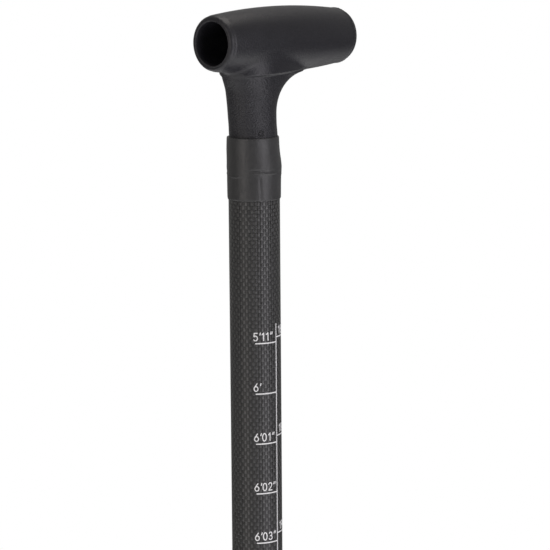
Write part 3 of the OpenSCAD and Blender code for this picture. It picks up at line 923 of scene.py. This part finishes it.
def build_screw():
    """A socket cap screw along Y: tip, thread, shank, head, and the hexagon socket in it."""
    m = 72
    turn = np.linspace(0, 2 * math.pi, m, endpoint=False)
    hexagon = 1 / np.cos((turn % (math.pi / 3)) - math.pi / 6)
    y0, y1 = screw_lo[1], screw_hi[1]
    under = y1 - SCREW_HEAD
    steps = [(0.6, y0), (1.7, y0), (2.1, y0 + 0.4)]
    for y in np.arange(y0 + 0.6, y0 + 11, 0.12):
        steps.append((BOLT_R - THREAD_DEPTH / 2 * (1 + np.cos(2 * math.pi * y / THREAD_PITCH + turn)), y))
    steps += [(BOLT_R, y0 + 11.2), (BOLT_R, under), (4.1, under), (4.5, under + 0.35)]
    steps += [(4.5, y1 - 0.6), (4.35, y1 - 0.2), (4.0, y1), (2.55, y1), (2.0 * hexagon, y1 - 0.3)]
    steps += [(2.0 * hexagon, y1 - 3.0), (1.0, y1 - 3.3), (0.2, y1 - 3.45)]
    loops = []
    for r, y in steps:
        x, z = BOLT_X + r * np.cos(turn), BOLT_Z + r * np.sin(turn)
        loops.append(np.stack([x, np.full(m, y), z], 1))
    return loft("cap_screw", loops)


finish_piece(build_screw(), "tension_screw", "steel", "tension_screw", sharp_deg=35)

# ------------------ blade

# t runs down the blade from BLADE_Z, along its bend
BLADE_Z = neck_lo[2] - 0.1
BLADE_LEN = 475.0
RAIL_W = 5.0
BLADE_HALF = face_hi[0] + RAIL_W
NECK_HALF = 17.5
SHOULDER, BELLY = 62.0, 300.0       # where it starts to widen and where it is widest
BEND_FROM, BEND_TO = 58.0, 190.0
LEAN = math.radians(10)
BEND_R = (BEND_TO - BEND_FROM) / LEAN
SKIN = 0.9
EDGE_HALF = 1.9                     # half the thickness at the edge
RIDGE_HALF = 27.0
POWER = 2 / 2.7                     # of the tip's superellipse
BELLY_ROW, LAST_ROW = 22, 34        # rows from the neck to the belly, and on round the tip
LAST_TURN = math.radians(84)


def tip_turn(i):
    return LAST_TURN * np.maximum(i - BELLY_ROW, 0) / (LAST_ROW - BELLY_ROW)


def half_width(i, k):
    """Half width at row i, in from the edge by k rails."""
    t = BELLY * np.minimum(i, BELLY_ROW) / BELLY_ROW
    wide = smoothstep((t - SHOULDER) / (BELLY - SHOULDER) * 1.06)
    upper = NECK_HALF + (BLADE_HALF - NECK_HALF) * wide - k * RAIL_W * smoothstep((t - SHOULDER) / 50)
    return np.where(i <= BELLY_ROW, upper, (BLADE_HALF - k * RAIL_W) * np.cos(tip_turn(i)) ** POWER)


def station(i, k):
    """Row i's place down the blade, in from the tip by k rails."""
    tip = BELLY + (BLADE_LEN - BELLY - k * RAIL_W) * np.sin(tip_turn(i)) ** POWER
    return np.where(i <= BELLY_ROW, BELLY * i / BELLY_ROW, tip)


def surface_height(t, x, w, side):
    """Height over the blade's middle: round at the neck, then a ridge that fades on side 1 and -1."""
    fade, low = (300, 3.4) if side > 0 else (210, 2.6)
    ridge = EDGE_HALF + (NECK_HALF - low) * (1 - smoothstep((t - 52) / (fade - 52)))
    ridge = ridge + (low - EDGE_HALF) * (1 - smoothstep((t - 330) / (BLADE_LEN - 338)))
    flat = smoothstep((t - 55) / 110)
    q = np.minimum(1, np.abs(x) / w)
    p = np.minimum(1, np.abs(x) / np.minimum(w, RIDGE_HALF))
    crown = (1 - flat) * np.sqrt(1 - q * q) + flat * (0.5 + 0.5 * np.cos(math.pi * p))
    return side * (EDGE_HALF + (ridge - EDGE_HALF) * crown)


def on_blade(x, t, h):
    """The point x across, t down and h off the blade's bent middle."""
    lean = LEAN * np.clip((t - BEND_FROM) / (BEND_TO - BEND_FROM), 0, 1)
    past = np.maximum(0, t - BEND_TO)
    y = BEND_R * (1 - np.cos(lean)) + past * np.sin(lean) + h * np.cos(lean)
    down = np.minimum(t, BEND_FROM) + BEND_R * np.sin(lean) + past * np.cos(lean)
    return np.stack(np.broadcast_arrays(x, y, BLADE_Z - down + h * np.sin(lean)), -1)


def rows_from(first, upper, lower):
    """Row numbers from first to the belly and on to the last row."""
    down = np.linspace(first, BELLY_ROW, upper)
    return np.concatenate([down, np.linspace(BELLY_ROW, LAST_ROW, lower)[1:]])


def blade_grid(side, sunk):
    i = rows_from(0, 100, 57)[:, None]
    even = np.linspace(-1, 1, 97)[None, :]
    w, t = half_width(i, 1), station(i, 1)
    x = w * (0.35 * np.sin(even * math.pi / 2) + 0.65 * even)
    return on_blade(x, t, surface_height(t, x, w, side) - side * sunk)


for side, name, node in ((-1, "power_face", "blade_face_skin"), (1, "blade_back", "blade_back_skin")):
    skin = slab(name, blade_grid(side, 0), blade_grid(side, SKIN))
    finish_piece(skin, "main_shaft", "carbon_blade", node, sharp_deg=40)


def build_rail():
    """The rail, down one side, round the tip and up the other. A path point is a row and a side."""
    rows = rows_from(5, 90, 70)
    tip = [(LAST_ROW, s) for s in np.linspace(-1, 1, 25)[1:-1]]
    path = np.array([(i, -1.0) for i in rows] + tip + [(i, 1.0) for i in rows[::-1]])
    loops = []
    for a in np.radians(np.linspace(-90, 90, 13)):
        k, h = 1 - math.cos(a), EDGE_HALF * math.sin(a)
        loops.append(on_blade(path[:, 1] * half_width(path[:, 0], k), station(path[:, 0], k), h))
    return loft("edge_rail", np.stack(loops, 1))


finish_piece(build_rail(), "main_shaft", "rail_plastic", "blade_edge_rail", sharp_deg=50)

# ------------------ printed scale

INCH = 25.4
CAP = 4.3                        # height of the numbers
STROKE = 0.52                    # width of their lines
LINE = 0.6                       # width of the marks
NARROW = 0.87                    # width of the numbers against their grid
SCALE_TURN = math.radians(6.0)   # the centre line, from -Y towards +X
TICK_ARC = math.radians(52.5) * EXT_R
INCH_LABEL = -math.radians(58.0) * EXT_R
CM_LABEL = 1.8                   # labels start this far round from the centre line
LABEL_UP = 1.2                   # and stand this far above their marks
FIRST_INCH, INCH_MARKS = 71, 16
MARK_Z = -148.0                  # 71 inches
FIRST_CM, CM_STEP, CM_MARKS = 180, 5, 9
CM_SHIFT = 2.45                  # the 180 cm mark stands this far above it
SCALE_TOP = -139.0
SCALE_BOTTOM = -557.0


def arc(cx, cy, rx, ry, a0, a1, n=14):
    t = np.radians(np.linspace(a0, a1, n))
    return np.stack([cx + rx * np.cos(t), cy + ry * np.sin(t)], 1).tolist()


# strokes on a grid one cap high; each glyph is (advance, strokes)
GLYPHS = {
    "0": (0.80, [arc(0.32, 0.5, 0.26, 0.44, 0, 360, 25)]),
    "1": (0.62, [[(0.12, 0.74), (0.34, 0.94), (0.34, 0.06)]]),
    "2": (0.76, [arc(0.31, 0.68, 0.24, 0.26, 160, -32, 12) + [(0.07, 0.06), (0.58, 0.06)]]),
    "3": (0.76, [arc(0.30, 0.72, 0.21, 0.22, 150, -80, 12), arc(0.30, 0.28, 0.25, 0.23, 95, -150, 14)]),
    "4": (0.78, [[(0.44, 0.06), (0.44, 0.94), (0.05, 0.30), (0.62, 0.30)]]),
    "5": (0.76, [[(0.54, 0.94), (0.14, 0.94), (0.10, 0.56)] + arc(0.30, 0.34, 0.26, 0.28, 130, -145, 14)]),
    "6": (0.78, [arc(0.32, 0.33, 0.26, 0.27, 0, 360, 22), [(0.46, 0.94), (0.20, 0.62), (0.08, 0.42)]]),
    "7": (0.72, [[(0.06, 0.94), (0.56, 0.94), (0.22, 0.06)]]),
    "8": (0.80, [arc(0.32, 0.72, 0.21, 0.22, 0, 360, 20), arc(0.32, 0.28, 0.26, 0.23, 0, 360, 22)]),
    "9": (0.78, [arc(0.32, 0.67, 0.26, 0.27, 0, 360, 22), [(0.18, 0.06), (0.44, 0.38), (0.56, 0.58)]]),
    "'": (0.30, [[(0.20, 0.96), (0.13, 0.72)]]),
    '"': (0.50, [[(0.20, 0.96), (0.13, 0.72)], [(0.42, 0.96), (0.35, 0.72)]]),
}


class Ink:
    """Gathers strokes on the unrolled tube (u round it, z along it), then lays them on as one thin film."""

    def __init__(self):
        self.points, self.faces = [], []

    def patch(self, ring):
        start = len(self.points)
        self.points += [Vector(p) for p in ring]
        self.faces.append(list(range(start, len(self.points))))

    def stroke(self, line, width):
        line = [np.array(p, float) for p in line]
        for a, b in zip(line[:-1], line[1:]):
            length = np.linalg.norm(b - a)
            side = np.array([-(b - a)[1], (b - a)[0]]) / length * width / 2
            parts = max(1, int(math.ceil(length / 1.2)))
            for i in range(parts):
                p, q = a + (b - a) * i / parts, a + (b - a) * (i + 1) / parts
                self.patch([p - side, q - side, q + side, p + side])
        for c in line:
            self.patch(arc(c[0], c[1], width / 2, width / 2, 0, 360, 11)[:-1])

    def label(self, text, u, z):
        for letter in text:
            advance, strokes = GLYPHS[letter]
            for line in strokes:
                self.stroke([(u + x * CAP * NARROW, z + y * CAP) for x, y in line], STROKE)
            u += advance * CAP * NARROW

    def build(self, name, radius, lift, thick):
        """One closed film over the union of the patches, without inner walls."""
        verts, _, faces, _, _, source = delaunay_2d_cdt(self.points, [], self.faces, 0, 1e-4, True)
        faces = [f for f, s in zip(faces, source) if s]
        flat = np.array([tuple(v) for v in verts])
        used = sorted({v for f in faces for v in f})
        index = {v: i for i, v in enumerate(used)}
        faces = [[index[v] for v in f] for f in faces]
        flat, n = flat[used], len(used)
        turn = flat[:, 0] / radius + SCALE_TURN
        shell = []
        for r in (radius + lift, radius + lift + thick):
            shell.append(np.stack([r * np.sin(turn), -r * np.cos(turn), flat[:, 1]], 1))
        edge = {}
        for f in faces:
            for a, b in zip(f, f[1:] + f[:1]):
                edge[(a, b)] = edge.get((a, b), 0) + 1
        rim = [(a, b) for (a, b) in edge if (b, a) not in edge]
        top = [[v + n for v in f] for f in faces]
        bottom = [f[::-1] for f in faces]
        walls = [[a, b, b + n, a + n] for a, b in rim]
        return outward(new_object(name, np.concatenate(shell), top + bottom + walls, smooth=False))


def printed_scale():
    ink = Ink()
    ink.stroke([(0, SCALE_TOP), (0, SCALE_BOTTOM)], LINE)
    for i in range(INCH_MARKS):
        z = MARK_Z - INCH * i
        ink.stroke([(-TICK_ARC, z), (0, z)], LINE)
        feet, rest = divmod(FIRST_INCH + i, 12)
        text = f"{feet}'" + (f'{rest:02d}"' if rest else "")
        ink.label(text, INCH_LABEL, z + LABEL_UP)
    for i in range(CM_MARKS):
        z = MARK_Z + CM_SHIFT - 10 * CM_STEP * i
        ink.stroke([(0, z), (TICK_ARC, z)], LINE)
        ink.label(str(FIRST_CM + CM_STEP * i), CM_LABEL, z + LABEL_UP)
    return ink.build("length_scale", EXT_R, 0.012, 0.022)


finish_piece(printed_scale(), "grip_shaft", "scale_ink")

# ------------------ stage, lights, camera

VIEW_TURN = 46.885     # degrees from +Y towards +X of the line from the camera to the shaft
CAMERA_AWAY = 1107.05  # mm from the shaft's axis
CAMERA_UP = 65.35      # mm above the bar's axis
LENS = 148.01
PITCH, YAW, ROLL = 9.293, 0.516, -0.43
SURROUND_R, FLOOR_R = 60, 3.2   # metres
SLIDE_ROOM = 205.0     # mm: the shaft slides down by 200 mm, and the floor is below that


def toward(turn_deg, away, up):
    """A point seen from the shaft at turn_deg to the right of the camera, in metres."""
    a = math.radians(VIEW_TURN)
    t = math.radians(turn_deg)
    back = Vector((-math.sin(a), -math.cos(a), 0))
    right = Vector((math.cos(a), -math.sin(a), 0))
    return (back * math.cos(t) + right * math.sin(t)) * away + Vector((0, 0, up))


def add_camera():
    data = bpy.data.cameras.new("camera")
    data.lens = LENS
    data.sensor_width = 36
    data.clip_end = 300
    camera = add_object("camera", data)
    turn = Matrix.Rotation(math.radians(-(VIEW_TURN + YAW)), 4, "Z")
    tilt = Matrix.Rotation(math.radians(90 - PITCH), 4, "X")
    camera.matrix_world = (
        Matrix.Translation(toward(0, CAMERA_AWAY * MM, CAMERA_UP * MM))
        @ turn @ tilt @ Matrix.Rotation(math.radians(ROLL), 4, "Z")
    )
    bpy.context.scene.camera = camera


def softbox(name, place, aim, width, height, watts, colour):
    data = bpy.data.lights.new(name, "AREA")
    data.shape = "RECTANGLE"
    data.size, data.size_y = width, height
    data.energy = watts
    data.color = colour
    light = add_object(name, data)
    light.location = place
    light.rotation_euler = (Vector(aim) - place).to_track_quat("-Z", "Y").to_euler()


def stage_sphere(radius):
    """A white surround that only the camera sees, so that it doesn't light the object."""
    t = np.linspace(-math.pi / 2, math.pi / 2, 24)
    dome = lathe("white_surround", np.stack([np.cos(t), np.sin(t)], 1) * radius / MM, 48)
    white = Shade("white_surround").end("ShaderNodeEmission", "ShaderNodeOutputMaterial", Strength=1.0)
    dome.data.materials.append(white)
    for ray in ("diffuse", "glossy", "transmission", "volume_scatter", "shadow"):
        setattr(dome, f"visible_{ray}", False)
    dome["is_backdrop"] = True


def floor_disc(z, radius):
    """A pale floor that glows into the white surround at its rim. z is in mm, radius in metres."""
    m = 96
    u = np.linspace(0, 2 * math.pi, m, endpoint=False)
    verts = np.stack([np.cos(u) * radius / MM, np.sin(u) * radius / MM, np.full(m, z)], 1)
    floor = new_object("floor", verts, [tuple(range(m))], smooth=False)
    s = Shade("floor")
    x, y, _ = s.split()
    away = s.vector("LENGTH", s.join(x, y, 0.0))
    tone = s.blend(s.noise(60, 2.0), (0.80, 0.80, 0.80), (0.83, 0.83, 0.83))
    glow = s.spread(away, 0.15 * radius, 0.95 * radius, 0.45, 1.0, smooth=True)
    mat = s.surface(Base_Color=tone, Roughness=0.7, Emission_Color=(1, 1, 1), Emission_Strength=glow)
    floor.data.materials.append(mat)
    floor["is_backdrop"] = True


def add_world(front, behind, below):
    """Soft light: dim on the camera's side, bright behind the object, and below times a factor."""
    s = Shade("world", "worlds", "Generated")
    facing = s.vector("DOT_PRODUCT", s.place, -toward(0, 1, 0))
    across = s.spread(facing, -0.1, 0.95, front, behind, smooth=True)
    upward = s.spread(s.split()[2], -0.32, 0.02, below, 1.0, smooth=True)
    bpy.context.scene.world = s.end(
        "ShaderNodeBackground", "ShaderNodeOutputWorld",
        Color=(1.0, 0.99, 0.97), Strength=s.times(across, upward),
    )


add_camera()
add_world(0.15, 0.37, 0.24)
stage_sphere(SURROUND_R)
floor_disc(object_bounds()[0][2] / MM - SLIDE_ROOM, FLOOR_R)
softbox("left_box", toward(-46, 1.5, 0.0), (0, 0, -0.1), 0.8, 1.6, 5.6, (1.0, 0.94, 0.90))
softbox("right_box", toward(47, 1.5, -0.3), (0, 0, -0.3), 0.9, 2.4, 14.0, (0.97, 0.94, 1.0))
softbox("top_box", Vector((0.2, 0.1, 1.5)), (0, 0, 0), 1.2, 1.2, 12, (1.0, 0.95, 0.9))
bpy.context.scene.view_settings.view_transform = "Standard"
